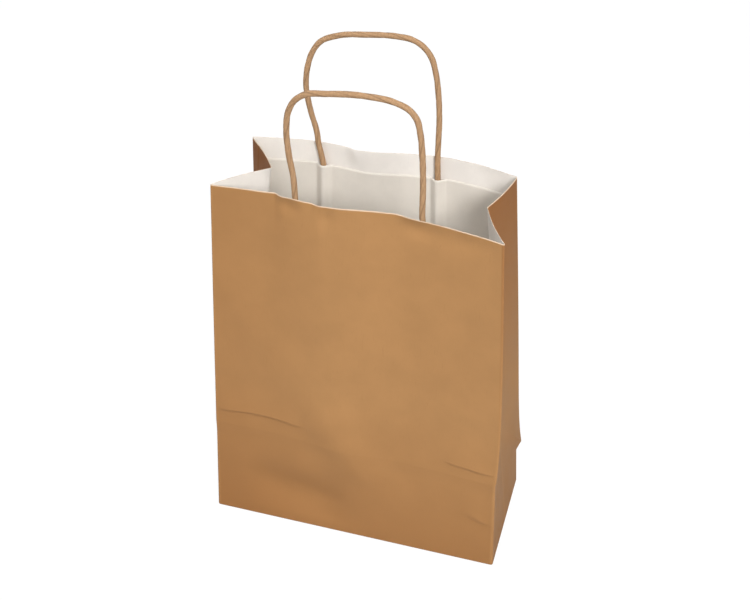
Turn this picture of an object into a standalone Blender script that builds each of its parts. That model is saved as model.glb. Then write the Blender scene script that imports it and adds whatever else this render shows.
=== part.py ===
"""Paper carrier bag with twisted paper handles, standing open on its block bottom.

Metres, +Z up. The origin is the middle of the base on the floor, the front panel faces -Y and
+X is to the right of someone who faces the front panel.

The bag is one sheet: a front and a back panel, two side gussets folded inwards and a bottom of
four folded flaps. Each panel is ruled between two long folds. A cross crease, left from when the
bag lay folded flat, runs round all the panels. Rows are counted along each long fold: row 0 is
the foot, row 1 the cross crease and row 2 the rim.
"""

import math
from collections import namedtuple

import bmesh
import bpy
import numpy as np

# Sheet
WIDTH = 0.246
DEPTH = 0.114
HEIGHT = 0.310
PAPER = 0.0003
CORNER_ROUND = 0.0020
GUSSET_ROUND = 0.0016
FOOT_RADIUS = 0.0010
CLEARANCE = 0.0003

# Cross crease, as heights on the back panel and at the two front corners
BACK_CREASE = 0.0435
RIGHT_CREASE = 0.086
LEFT_CREASE = 0.090
CREASE_LIP = 0.009
CREASE_FADE = 0.022

# How far each corner of the base has moved from the plain rectangle
FRONT_LEFT_FOOT = (0.0004, 0.0028)
FRONT_RIGHT_FOOT = (0.0018, -0.0022)
BACK_RIGHT_FOOT = (-0.0041, 0.0002)
BACK_LEFT_FOOT = (-0.0020, -0.0004)

# How far each long fold has moved at the rim from its place in the plain rectangle
FRONT_LEFT_SHIFT = (0.0056, 0.0174)
FRONT_RIGHT_SHIFT = (-0.0017, -0.0041)
RIGHT_GUSSET_SHIFT = (-0.0278, -0.0076)
BACK_RIGHT_SHIFT = (-0.0162, -0.0133)
BACK_LEFT_SHIFT = (0.0070, -0.0094)
LEFT_GUSSET_SHIFT = (0.0402, 0.0042)
GUSSET_DIP = 0.0018

# Swell of the sides above the cross crease, and the ridge that the crease itself makes
FRONT_RIGHT_BELLY = 0.0028
BACK_RIGHT_BELLY = 0.0018
LEFT_BELLY = 0.0004
BACK_RIDGE = 0.0040
GUSSET_RIDGE = 0.0018
FRONT_RIDGE = 0.0006

# Waves of the rim: the deepest one, and for each place along the panel its share of that
FRONT_WAVE_DEPTH = 0.0119
BACK_WAVE_DEPTH = 0.0137
FRONT_WAVE = (
    (0.00, 0.00), (0.10, 0.34), (0.20, 0.54), (0.30, 0.24), (0.39, 0.05), (0.50, 0.53),
    (0.62, 1.00), (0.75, 0.82), (0.89, 0.42), (1.00, 0.00),
)
BACK_WAVE = (
    (0.00, 0.00), (0.10, 0.35), (0.24, 0.64), (0.34, 0.50), (0.44, 0.29), (0.58, 0.76),
    (0.72, 1.00), (0.84, 0.70), (1.00, 0.00),
)
WAVE_FADE = 1.6

# Glued lap along the back fold of the left gusset, and flaps of the block bottom
LAP_WIDTH = 0.015
LAP_EDGE = 0.0004
FLAP_OVERLAP = 0.015
GUSSET_FLAP = 0.070
RECESS_MARGIN = 0.003

# Handles
CORD_DIAMETER = 0.0048
GROOVE_SHARE = 0.055
GROOVES = 3
TWIST_PITCH = 0.036
HANDLE_HEIGHT = 0.0968
FRONT_HANDLE_SPACING = 0.1015
BACK_HANDLE_SPACING = 0.095
FRONT_HANDLE_OFFSET = 0.0033
BACK_HANDLE_OFFSET = -0.0085
FRONT_LEAN = -4.0
BACK_LEAN = 4.0
BACK_SPLAY = 0.0045
CORD_STEP = 0.004

# Bows of the handles: share of the way from the left leg to the right one, share of the height
FRONT_BOW = (
    (-0.005, 0.19), (-0.03, 0.40), (-0.035, 0.62), (-0.01, 0.77), (0.04, 0.865), (0.12, 0.93),
    (0.29, 0.965), (0.60, 0.995), (0.80, 0.978), (0.91, 0.93), (0.96, 0.865), (0.985, 0.755),
    (1.00, 0.57), (1.005, 0.30),
)
BACK_BOW = (
    (-0.015, 0.10), (-0.07, 0.29), (-0.107, 0.50), (-0.09, 0.68), (-0.055, 0.79), (0.015, 0.89),
    (0.15, 0.952), (0.40, 0.988), (0.63, 1.00), (0.76, 0.985), (0.845, 0.94), (0.915, 0.855),
    (0.955, 0.73), (0.985, 0.54), (1.00, 0.33), (1.00, 0.13),
)

# Patches that hold the ends of the cords
PATCH_TOP = 0.0185
PATCH_HEIGHT = 0.050
PATCH_MARGIN = 0.004
CORD_IN_PATCH = 0.040
RIDGE_HALF_WIDTH = 0.0075

# Mesh density
PANEL_COLUMNS = 30
GUSSET_COLUMNS = 4
ROUND_POINTS = 3
FOOT_ROWS = 3
LOW_ROWS = (0.12, 0.45, 0.75, 0.9)
HIGH_ROWS = (1.05, 1.12, 1.25, 1.4, 1.55, 1.7, 1.85)
RIDGE_COLUMNS = 13
PATCH_ROWS = 6
CORD_SIDES = 12

KRAFT = (0.456, 0.230, 0.096, 1.0)
WHITE = (0.760, 0.715, 0.665, 1.0)
CORD_BROWN = (0.468, 0.283, 0.142, 1.0)

CORD_RADIUS = CORD_DIAMETER / 2
CORD_SEAT = PAPER + CLEARANCE + CORD_RADIUS

Fold = namedtuple("Fold", "foot rim crease top belly ridge outward rounding")
Side = namedtuple("Side", "name panel offset spacing bow lean splay")


def long_folds():
    """The six long folds, anticlockwise from the front left corner when seen from above."""
    x, y = WIDTH / 2, DEPTH / 2
    front_left = np.array((-x, -y))
    front_right = np.array((x, -y))
    back_right = np.array((x, y))
    back_left = np.array((-x, y))
    feet = [
        front_left + FRONT_LEFT_FOOT, front_right + FRONT_RIGHT_FOOT,
        back_right + BACK_RIGHT_FOOT, back_left + BACK_LEFT_FOOT,
    ]
    right_foot = (feet[1] + feet[2]) / 2
    left_foot = (feet[3] + feet[0]) / 2
    right_rim = (front_right + back_right) / 2 + RIGHT_GUSSET_SHIFT
    left_rim = (back_left + front_left) / 2 + LEFT_GUSSET_SHIFT
    dip = HEIGHT - GUSSET_DIP
    centre = BACK_CREASE + DEPTH / 2
    return (
        Fold(feet[0], front_left + FRONT_LEFT_SHIFT, LEFT_CREASE, HEIGHT, -LEFT_BELLY,
             FRONT_RIDGE, (-0.3, -1.0), CORNER_ROUND),
        Fold(feet[1], front_right + FRONT_RIGHT_SHIFT, RIGHT_CREASE, HEIGHT, FRONT_RIGHT_BELLY,
             FRONT_RIDGE, (0.4, -1.0), CORNER_ROUND),
        Fold(right_foot, right_rim, centre, dip, 0.0, GUSSET_RIDGE, (1.0, 0.0), GUSSET_ROUND),
        Fold(feet[2], back_right + BACK_RIGHT_SHIFT, BACK_CREASE, HEIGHT, BACK_RIGHT_BELLY,
             BACK_RIDGE, (1.0, 0.4), CORNER_ROUND),
        Fold(feet[3], back_left + BACK_LEFT_SHIFT, BACK_CREASE, HEIGHT, -LEFT_BELLY,
             BACK_RIDGE, (-0.6, 0.4), CORNER_ROUND),
        Fold(left_foot, left_rim, centre, dip, 0.0, GUSSET_RIDGE, (-1.0, 0.0), GUSSET_ROUND),
    )


def fold_point(fold, row):
    """A point of a long fold, with the swell above the crease and the ridge at it."""
    low, high = min(row, 1.0), max(row - 1.0, 0.0)
    z = PAPER + (fold.crease - PAPER) * low + (fold.top - fold.crease) * high
    past = z - fold.crease
    if past < 0:
        ridge = max(0.0, 1 + past / CREASE_LIP)
    else:
        ridge = math.exp(-past / CREASE_FADE)
    belly = fold.belly * (math.sin(math.pi * high ** 0.6) if high else 0.0)
    push = fold.ridge * ridge
    climb = (z - PAPER) / (fold.top - PAPER)
    x, y = fold.foot + (fold.rim - fold.foot) * climb + np.array(fold.outward) * push
    return np.array((x + belly, y, z))


def smooth(places, values, at):
    """Reads a smooth curve through the given values."""
    places = np.asarray(places, float)
    values = np.asarray(values, float)
    slopes = np.gradient(values, places, axis=0)
    at = np.asarray(at, float)
    index = np.clip(np.searchsorted(places, at) - 1, 0, len(places) - 2)
    span = places[index + 1] - places[index]
    share = (at - places[index]) / span
    if values.ndim > 1:
        span, share = span[..., None], share[..., None]
    start, end = values[index], values[index + 1]
    return (
        (2 * share**3 - 3 * share**2 + 1) * start
        + (share**3 - 2 * share**2 + share) * span * slopes[index]
        + (3 * share**2 - 2 * share**3) * end
        + (share**3 - share**2) * span * slopes[index + 1]
    )


def wave(table, share, row):
    """How far a panel leaves the plane between its folds, as a share of its deepest wave."""
    places, depths = zip(*table)
    return float(smooth(places, depths, share)) * (row / 2) ** (1 + WAVE_FADE)


def panel_point(panel, share, row):
    """A point of a panel's outer face: the straight line between its folds and its wave."""
    folds = long_folds()
    start, end = folds[panel], folds[(panel + 1) % len(folds)]
    point = (1 - share) * fold_point(start, row) + share * fold_point(end, row)
    if panel == FRONT:
        point[1] += FRONT_WAVE_DEPTH * wave(FRONT_WAVE, share, row)
    elif panel == BACK:
        point[1] += BACK_WAVE_DEPTH * wave(BACK_WAVE, 1 - share, row)
    return point


FRONT, BACK = 0, 3
LAPPED = 4


def panel_shares(panel):
    """Columns of a panel between its folds. The lap has two close columns at its free edge."""
    count = PANEL_COLUMNS if panel in (FRONT, BACK) else GUSSET_COLUMNS
    shares = [column / count for column in range(1, count)]
    if panel == LAPPED:
        edge = LAP_WIDTH / (DEPTH / 2)
        shares = [share for share in shares if share > edge + LAP_EDGE / DEPTH]
        shares = [edge / 2, edge, edge + LAP_EDGE / (DEPTH / 2)] + shares
    return shares


def lap_lift(panel, share):
    return PAPER if panel == LAPPED and share <= LAP_WIDTH / (DEPTH / 2) + 1e-9 else 0.0


def outward_normal(panel, row):
    """Level direction out of a panel, square to the line between its folds."""
    line = panel_point(panel, 1.0, row) - panel_point(panel, 0.0, row)
    return np.array((line[1], -line[0], 0.0)) / math.hypot(line[0], line[1])


def rounded(before, corner, after, length):
    """The corner of a fold as a short arc between its two panels."""
    toward, away = before - corner, after - corner
    start = corner + toward * (length / np.linalg.norm(toward))
    end = corner + away * (length / np.linalg.norm(away))
    points = []
    for step in range(ROUND_POINTS):
        t = step / (ROUND_POINTS - 1)
        points.append((1 - t) ** 2 * start + 2 * t * (1 - t) * corner + t**2 * end)
    return points


def contour(row):
    """One closed line round the bag's outer face."""
    folds = long_folds()
    columns = []
    for panel in range(len(folds)):
        normal = outward_normal(panel, row)
        columns.append([
            panel_point(panel, share, row) + normal * lap_lift(panel, share)
            for share in panel_shares(panel)
        ])
    line = []
    for number, fold in enumerate(folds):
        before, after = columns[number - 1][-1], columns[number][0]
        line += rounded(before, fold_point(fold, row), after, fold.rounding)
        line += columns[number]
    return line


def foot_contour(angle):
    """The contour where the wall turns under: angle 0 is the flat base, a right angle the wall."""
    inset = FOOT_RADIUS * (1 - math.sin(angle))
    rise = FOOT_RADIUS * (1 - math.cos(angle))
    shrink = np.array((1 - inset / (WIDTH / 2), 1 - inset / (DEPTH / 2), 1.0))
    return [point * shrink + np.array((0.0, 0.0, rise)) for point in contour(0.0)]


def add_mesh(name, build, collection):
    """A new object whose mesh is made by the given function."""
    mesh = bpy.data.meshes.new(name)
    work = bmesh.new()
    build(work)
    bmesh.ops.recalc_face_normals(work, faces=work.faces)
    work.to_mesh(mesh)
    work.free()
    piece = bpy.data.objects.new(name, mesh)
    collection.objects.link(piece)
    return piece


def add_solidify(piece, offset):
    thick = piece.modifiers.new("Paper", "SOLIDIFY")
    thick.thickness = PAPER
    thick.offset = offset
    thick.use_even_offset = True
    return thick


def skin(work, rows, closed):
    """Quads between rows of points that all have the same count."""
    lines = [[work.verts.new(point) for point in row] for row in rows]
    for low, high in zip(lines, lines[1:]):
        count = len(low) if closed else len(low) - 1
        for column in range(count):
            after = (column + 1) % len(low)
            work.faces.new((low[column], low[after], high[after], high[column]))
    return lines


def wall_rows():
    """Contours from the flat of the base to the rim."""
    turn = [math.radians(90) * step / FOOT_ROWS for step in range(FOOT_ROWS)]
    rows = [foot_contour(angle) for angle in turn]
    foot_row = FOOT_RADIUS / BACK_CREASE
    for row in (foot_row, *LOW_ROWS, 1.0, *HIGH_ROWS, 2.0):
        rows.append(contour(row))
    return rows


def flap(name, outline, low, high, collection):
    """A flat flap of paper, or a cutter, between two heights."""
    def build(work):
        face = work.faces.new([work.verts.new((x, y, low)) for x, y in outline])
        made = bmesh.ops.extrude_face_region(work, geom=[face])["geom"]
        lifted = [item for item in made if isinstance(item, bmesh.types.BMVert)]
        bmesh.ops.translate(work, verts=lifted, vec=(0.0, 0.0, high - low))

    piece = add_mesh(name, build, collection)
    piece.hide_render = True
    piece.display_type = "WIRE"
    return piece


def combine(piece, other, operation):
    step = piece.modifiers.new(other.name, "BOOLEAN")
    step.operation = operation
    step.object = other
    step.solver = "EXACT"


def bottom_flaps(body, helpers):
    """Block bottom: gusset flaps inside, then the front flap, then the back flap outermost.

    The flaps are cut to the base as it stands, so they follow its four corners.
    """
    front_left, front_right, right, back_right, back_left, left = [
        fold_point(fold, 0.0)[:2] for fold in long_folds()
    ]
    across = (front_right - front_left) / np.linalg.norm(front_right - front_left)
    inward = DEPTH / 2 + FLAP_OVERLAP
    edge = FOOT_RADIUS
    low, high = 1.25 * PAPER, 3 * PAPER
    down = np.array((0.0, -1.0))
    back_flap = (
        back_left + across * edge + down * edge, back_right - across * edge + down * edge,
        back_right - across * inward + down * inward, back_left + across * inward + down * inward,
    )
    combine(body, flap("back_flap", back_flap, 0.0, 1.5 * PAPER, helpers), "UNION")
    tuck = FOOT_RADIUS * 2 / 3
    ends = (("left", 1, front_left, left, back_left), ("right", -1, front_right, right, back_right))
    for name, side, front, middle, back in ends:
        step = across * side
        strip = (
            front + step * tuck - down * tuck, back + step * tuck + down * tuck,
            back + step * GUSSET_FLAP + down * tuck, front + step * GUSSET_FLAP - down * tuck,
        )
        combine(body, flap(f"{name}_gusset_flap", strip, low, high, helpers), "UNION")
        gap = RECESS_MARGIN
        opening = (
            front + step * gap - down * 2 * gap, back + step * gap + down * 2 * gap,
            middle + step * (DEPTH / 2 - gap),
        )
        cutter = flap(f"{name}_end_recess", opening, -PAPER, 1.75 * PAPER, helpers)
        combine(body, cutter, "DIFFERENCE")


def bag_body(parts, helpers):
    def build(work):
        lines = skin(work, wall_rows(), closed=True)
        work.faces.new(lines[0])

    body = add_mesh("bag_body", build, parts)
    add_solidify(body, -1.0)
    bottom_flaps(body, helpers)
    return body


def row_at(panel, share, height):
    """The row of a panel's column that lies at a height above the crease."""
    low = panel_point(panel, share, 1.0)[2]
    top = panel_point(panel, share, 2.0)[2]
    return 1 + (height - low) / (top - low)


def inner_place(panel, share, height, distance):
    """A point at a distance inwards from a panel's outer face."""
    row = row_at(panel, share, height)
    return panel_point(panel, share, row) - outward_normal(panel, row) * distance


def foot_share(panel, x):
    """The column of a panel whose rim lies at x."""
    start, end = panel_point(panel, 0.0, 2.0)[0], panel_point(panel, 1.0, 2.0)[0]
    return (x - start) / (end - start)


def foot_shares(side):
    return [foot_share(side.panel, side.offset + way * side.spacing / 2) for way in (-1, 1)]


def leg(side, share, splay):
    """Centre line of a leg along the wall: straight up in the patch, then leaning by its splay."""
    top = HEIGHT - PATCH_TOP
    lean = splay / WIDTH
    heights = (top - CORD_IN_PATCH, top - CORD_IN_PATCH / 2, top, (top + HEIGHT) / 2, HEIGHT)
    points = []
    for height in heights:
        climb = max(0.0, (height - top) / PATCH_TOP)
        points.append(inner_place(side.panel, share + lean * climb, height, CORD_SEAT))
    return points


def handle_route(side):
    """Centre line of a handle, from inside the patch on the left to inside it on the right."""
    shares = foot_shares(side)
    outward = 1.0 if side.panel == BACK else -1.0
    legs = [leg(side, shares[0], outward * side.splay), leg(side, shares[1], 0.0)]
    left, right = legs[0][-1], legs[1][-1]
    tilt = math.radians(side.lean)
    up = np.array((0.0, math.sin(tilt), math.cos(tilt))) * HANDLE_HEIGHT
    arch = [left + (right - left) * along + up * rise for along, rise in side.bow]
    points = np.array(legs[0] + arch + legs[1][::-1])
    reach = np.concatenate([[0.0], np.cumsum(np.linalg.norm(np.diff(points, axis=0), axis=1))])
    count = round(reach[-1] / CORD_STEP)
    return smooth(reach, points, np.linspace(0.0, reach[-1], count + 1))


def cord_section(helpers):
    """Round section with shallow grooves, which the twist turns into spirals."""
    line = bpy.data.curves.new("cord_section", "CURVE")
    line.dimensions = "2D"
    spline = line.splines.new("POLY")
    spline.points.add(CORD_SIDES - 1)
    for number, point in enumerate(spline.points):
        angle = -2 * math.pi * number / CORD_SIDES
        radius = CORD_RADIUS * (1 - GROOVE_SHARE * (1 - math.cos(GROOVES * angle)) / 2)
        point.co = (radius * math.cos(angle), radius * math.sin(angle), 0.0, 1.0)
    spline.use_cyclic_u = True
    section = bpy.data.objects.new("cord_section", line)
    section.hide_render = True
    helpers.objects.link(section)
    return section


def handle(name, route, section, parts):
    """A twisted paper cord: the grooved section swept along its route and turned as it goes."""
    line = bpy.data.curves.new(name, "CURVE")
    line.dimensions = "3D"
    line.twist_mode = "MINIMUM"
    line.bevel_mode = "OBJECT"
    line.bevel_object = section
    line.use_fill_caps = True
    spline = line.splines.new("POLY")
    spline.points.add(len(route) - 1)
    for number, (point, place) in enumerate(zip(spline.points, route)):
        point.co = (*place, 1.0)
        point.tilt = 2 * math.pi * number * CORD_STEP / TWIST_PITCH
    spline.use_smooth = True
    piece = bpy.data.objects.new(name, line)
    parts.objects.link(piece)
    return piece


def ridge_height(x, height, feet):
    """How far the patch stands off the wall to pass over the ends of the cord."""
    cord_end = HEIGHT - PATCH_TOP - CORD_IN_PATCH
    patch_end = HEIGHT - PATCH_TOP - PATCH_HEIGHT
    fade = min(1.0, max(0.0, (height - patch_end) / (cord_end - patch_end)))
    nearest = min(abs(x - foot) for foot in feet)
    if nearest >= RIDGE_HALF_WIDTH:
        return 0.0
    crown = 2 * CORD_RADIUS + CLEARANCE
    return crown * fade * (1 + math.cos(math.pi * nearest / RIDGE_HALF_WIDTH)) / 2


def patch_columns(panel, shares):
    """Even columns across the panel, closer where the ridges are."""
    margin = PATCH_MARGIN / WIDTH
    columns = set(np.linspace(margin, 1 - margin, PANEL_COLUMNS - 3).round(5))
    for share in shares:
        near = RIDGE_HALF_WIDTH / WIDTH
        columns = {column for column in columns if abs(column - share) > 1.15 * near}
        columns |= set((share + np.linspace(-near, near, RIDGE_COLUMNS)).round(5))
    return sorted(columns)


def handle_patch(name, side, parts):
    panel = side.panel
    shares = foot_shares(side)
    heights = list(np.linspace(HEIGHT - PATCH_TOP - CORD_IN_PATCH, HEIGHT - PATCH_TOP, PATCH_ROWS))
    heights.insert(0, HEIGHT - PATCH_TOP - PATCH_HEIGHT)
    rows = []
    for height in heights:
        feet = [inner_place(panel, share, height, CORD_SEAT)[0] for share in shares]
        row = []
        for share in patch_columns(panel, shares):
            wall = inner_place(panel, share, height, PAPER)
            lift = 1.5 * PAPER + CLEARANCE + ridge_height(wall[0], height, feet)
            row.append(inner_place(panel, share, height, lift))
        rows.append(row)
    patch = add_mesh(name, lambda work: skin(work, rows, closed=False), parts)
    add_solidify(patch, 0.0)
    return patch


def add_material(piece, name, colour, roughness):
    paint = bpy.data.materials.new(name)
    paint.use_nodes = True
    shader = paint.node_tree.nodes["Principled BSDF"]
    shader.inputs["Base Color"].default_value = colour
    shader.inputs["Roughness"].default_value = roughness
    shader.inputs["Metallic"].default_value = 0.0
    paint.diffuse_color = colour
    piece.data.materials.append(paint)


def main():
    for old in list(bpy.data.objects):
        bpy.data.objects.remove(old)
    parts = bpy.data.collections.new("paper_carrier_bag")
    helpers = bpy.data.collections.new("helpers")
    bpy.context.scene.collection.children.link(parts)
    bpy.context.scene.collection.children.link(helpers)
    body = bag_body(parts, helpers)
    add_material(body, "brown_kraft_paper", KRAFT, 0.75)
    section = cord_section(helpers)
    sides = (
        Side("front", FRONT, FRONT_HANDLE_OFFSET, FRONT_HANDLE_SPACING, FRONT_BOW, FRONT_LEAN, 0.0),
        Side("back", BACK, BACK_HANDLE_OFFSET, BACK_HANDLE_SPACING, BACK_BOW, BACK_LEAN, BACK_SPLAY),
    )
    for side in sides:
        patch = handle_patch(f"{side.name}_handle_patch", side, parts)
        add_material(patch, f"{side.name}_white_paper", WHITE, 0.8)
        cord = handle(f"{side.name}_handle", handle_route(side), section, parts)
        add_material(cord, f"{side.name}_twisted_paper", CORD_BROWN, 0.7)


main()
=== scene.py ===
"""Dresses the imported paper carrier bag: folded kraft sheet, white patches, twisted paper handles
and a plain studio."""

import math
from collections import namedtuple

import bpy
import numpy as np
from bpy.props import FloatProperty, FloatVectorProperty, PointerProperty
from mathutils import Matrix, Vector


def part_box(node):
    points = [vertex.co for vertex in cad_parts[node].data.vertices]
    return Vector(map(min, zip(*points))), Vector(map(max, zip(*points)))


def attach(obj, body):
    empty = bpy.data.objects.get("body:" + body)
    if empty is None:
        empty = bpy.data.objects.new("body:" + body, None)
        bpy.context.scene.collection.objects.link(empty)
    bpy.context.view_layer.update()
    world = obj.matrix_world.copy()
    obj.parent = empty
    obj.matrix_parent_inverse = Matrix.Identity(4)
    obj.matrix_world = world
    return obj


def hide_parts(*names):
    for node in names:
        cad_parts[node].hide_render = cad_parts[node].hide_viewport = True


bl_info = {
    "name": "Paper carrier bag",
    "version": (1, 0, 0),
    "blender": (4, 5, 0),
    "location": "3D View > Sidebar > Carrier bag",
    "description": "Builds the sheet, patches, twisted handles and studio of a paper carrier bag",
    "category": "Add Mesh",
}

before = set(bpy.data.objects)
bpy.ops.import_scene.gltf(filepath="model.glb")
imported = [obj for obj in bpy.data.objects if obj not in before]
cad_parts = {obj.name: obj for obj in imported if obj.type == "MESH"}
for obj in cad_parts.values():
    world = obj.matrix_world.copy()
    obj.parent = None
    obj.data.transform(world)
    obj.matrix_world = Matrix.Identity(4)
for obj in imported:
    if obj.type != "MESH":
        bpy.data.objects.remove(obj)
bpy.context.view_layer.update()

Fold = namedtuple("Fold", "foot rim crease top belly ridge outward rounding")
Line = namedtuple("Line", "start end arch")
Arc = namedtuple("Arc", "centre radius start turn")
Form = namedtuple("Form", "path fade height sharp above below")
RimDent = namedtuple("RimDent", "x width down reach height")
Handle = namedtuple("Handle", "name panel shares splay lean bow")
Lamp = namedtuple("Lamp", "name place size spread power")

# Sheet
WIDTH = 0.246
DEPTH = 0.114
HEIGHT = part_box("bag_body")[1].z
PAPER = 0.0003
CORNER_ROUND = 0.0020
GUSSET_ROUND = 0.0016
FOOT_RADIUS = 0.0010
GUSSET_DIP = 0.0018
CLEARANCE = 0.0003
LAP_WIDTH = 0.015
HALF_X, HALF_Y = WIDTH / 2, DEPTH / 2
LAP_EDGE = LAP_WIDTH / HALF_Y
GUSSET_TOP = HEIGHT - GUSSET_DIP

# Cross crease: its height at each fold, and how its ridge falls away below and above it
BACK_CREASE = 0.0435
RIGHT_CREASE = 0.086
LEFT_CREASE = 0.090
GUSSET_CREASE = BACK_CREASE + HALF_Y
CREASE_LIP = 0.009
CREASE_FADE = 0.022

# Corners of the base, each moved a little from the plain rectangle
PLAIN_CORNERS = ((-HALF_X, -HALF_Y), (HALF_X, -HALF_Y), (HALF_X, HALF_Y), (-HALF_X, HALF_Y))
FOOT_SHIFTS = ((0.0004, 0.0028), (0.0018, -0.0022), (-0.0041, 0.0002), (-0.0020, -0.0004))
FEET = tuple((x + dx, y + dy) for (x, y), (dx, dy) in zip(PLAIN_CORNERS, FOOT_SHIFTS))
RIGHT_FOOT = ((FEET[1][0] + FEET[2][0]) / 2, (FEET[1][1] + FEET[2][1]) / 2)
LEFT_FOOT = ((FEET[3][0] + FEET[0][0]) / 2, (FEET[3][1] + FEET[0][1]) / 2)

# Six long folds, anticlockwise from the front left
FOLDS = (
    Fold(FEET[0], (-0.1174, -0.0396), LEFT_CREASE, HEIGHT, -0.0004, 0.0006, (-0.3, -1.0),
         CORNER_ROUND),
    Fold(FEET[1], (0.1213, -0.0611), RIGHT_CREASE, HEIGHT, 0.0028, 0.0006, (0.4, -1.0),
         CORNER_ROUND),
    Fold(RIGHT_FOOT, (0.0952, -0.0076), GUSSET_CREASE, GUSSET_TOP, 0.0, 0.0018, (1.0, 0.0),
         GUSSET_ROUND),
    Fold(FEET[2], (0.1068, 0.0437), BACK_CREASE, HEIGHT, 0.0018, 0.0040, (1.0, 0.4),
         CORNER_ROUND),
    Fold(FEET[3], (-0.1160, 0.0476), BACK_CREASE, HEIGHT, -0.0004, 0.0040, (-0.6, 0.4),
         CORNER_ROUND),
    Fold(LEFT_FOOT, (-0.0828, 0.0042), GUSSET_CREASE, GUSSET_TOP, 0.0, 0.0018, (-1.0, 0.0),
         GUSSET_ROUND),
)
BELLY_POWER = 0.6
FRONT, RIGHT_FRONT, RIGHT_BACK, BACK, LEFT_BACK, LEFT_FRONT = range(6)

# Waves of the panels towards the rim, and the steps that the rim of the front has
FRONT_WAVE_DEPTH = 0.0119
BACK_WAVE_DEPTH = 0.0137
WAVE_POWER = 2.6
FRONT_WAVE = (
    (0.00, 0.00), (0.10, 0.33), (0.20, 0.52), (0.30, 0.26), (0.39, 0.05), (0.50, 0.53),
    (0.62, 1.00), (0.75, 0.82), (0.89, 0.42), (1.00, 0.00),
)
FRONT_RIM = (
    (0.000, 0.00), (0.060, 0.20), (0.111, 0.335), (0.173, 0.47), (0.208, 0.59), (0.224, 0.62),
    (0.237, 0.43), (0.252, 0.275), (0.275, 0.25), (0.330, 0.265), (0.356, 0.26), (0.371, 0.143),
    (0.388, 0.05), (0.407, 0.075), (0.450, 0.25), (0.503, 0.53), (0.560, 0.80), (0.600, 0.94),
    (0.630, 1.02), (0.652, 0.93), (0.676, 0.775), (0.704, 0.70), (0.755, 0.70), (0.800, 0.63),
    (0.867, 0.42), (0.930, 0.25), (1.000, 0.00),
)
RIM_STEPS = ((0.208, 0.268), (0.350, 0.400), (0.622, 0.690))
RIM_STEP_FADE = 0.012
BACK_WAVE = (
    (0.00, 0.00), (0.10, 0.35), (0.24, 0.64), (0.34, 0.50), (0.44, 0.29), (0.58, 0.76),
    (0.72, 1.00), (0.84, 0.70), (1.00, 0.00),
)
GUSSET_BOWS = {RIGHT_FRONT: -0.0017, RIGHT_BACK: 0.0014, LEFT_BACK: -0.0017, LEFT_FRONT: 0.0024}
GUSSET_BOW_POWER = 5

# Creases and dents of the front and the back panel: the path across and up the panel, the fade of
# its ends, the height, whether the crest is sharp, and the width above and below it
FORMS = {
    FRONT: (
        Form(Line((-0.117, 0.1025), (-0.046, 0.1035), 0.0022), 0.12, 0.0015, True, 0.014, 0.0015),
        Form(Arc((-0.1467, -0.0095), 0.1725, 51.8, 28.8), 0.35, 0.0046, False, 0.020, 0.023),
        Form(Line((-0.080, 0.038), (-0.010, 0.026), 0.0), 0.4, -0.0056, False, 0.018, 0.018),
        Form(Line((0.084, 0.0985), (0.122, 0.0955), 0.0), 0.2, 0.0013, True, 0.010, 0.0014),
        Form(Line((0.100, 0.050), (0.121, 0.043), 0.0), 0.3, 0.0012, True, 0.008, 0.0018),
        Form(Line((-0.112, 0.215), (-0.030, 0.140), 0.0), 0.3, 0.0012, False, 0.022, 0.022),
    ),
    BACK: (
        Form(Line((-0.060, 0.110), (0.050, 0.085), 0.0), 0.3, -0.0012, False, 0.022, 0.022),
        Form(Line((0.030, 0.190), (0.100, 0.120), 0.0), 0.3, 0.0010, False, 0.018, 0.018),
    ),
}
# Dents at the rim: middle and width across, middle and reach below the rim, and height
RIM_DENTS = {
    FRONT: (
        RimDent(-0.052, 0.008, 0.007, 0.007, -0.0028),
        RimDent(-0.020, 0.007, 0.010, 0.010, -0.0024),
        RimDent(0.050, 0.014, 0.008, 0.008, -0.0026),
        RimDent(0.090, 0.030, 0.009, 0.009, -0.0016),
    ),
    BACK: (
        RimDent(-0.028, 0.005, 0.003, 0.008, -0.0020),
        RimDent(0.075, 0.016, 0.004, 0.012, 0.0012),
    ),
}
CROSS_RIDGE = {FRONT: 0.0, BACK: 0.0008}
CROSS_RIDGE_WIDTH = 0.004
END_STEEPNESS = 4

# Slow unevenness of the paper, and how near to the folds and the foot unevenness and dents fade out
WAVE_COUNT = 9
SHORTEST_WAVE = 0.035
LONGEST_WAVE = 0.110
PANEL_UNEVEN = 0.0011
PANEL_SEED = 3
PANEL_FOLD_HOLD = 0.05
PANEL_FOOT_HOLD = 0.012
GUSSET_UNEVEN = 0.0009
GUSSET_SEED = 11
GUSSET_FOLD_HOLD = 0.35
GUSSET_FOOT_HOLD = 0.03
GUSSET_SQUEEZE = 1.3

# Mesh of the sheet: columns of each panel, then rows as lowest height, highest height and count
PANEL_STEPS = {FRONT: 100, BACK: 80, RIGHT_FRONT: 20, RIGHT_BACK: 22, LEFT_BACK: 20,
               LEFT_FRONT: 20}
ROUND_POINTS = 5
NARROW_PANEL = 0.94
NARROW_GUSSET = 0.9
FOLD_GAP = 0.0010
STEP_COLUMNS = 14
STEP_MARGIN = 0.003
LAP_MARGIN = 0.012
LAP_STEP = 0.008
ROW_SPANS = (
    (0.0016, 0.0380, 17), (0.0400, 0.0480, 9), (0.0510, 0.0870, 13), (0.0880, 0.1080, 34),
    (0.1110, 0.2850, 40), (0.2875, 0.3090, 14),
)
TOP_ROWS = (0.3095, 0.3098)
EDGE_ROWS = 3
FOOT_TURNS = 4
BASE_RING = 0.004

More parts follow.
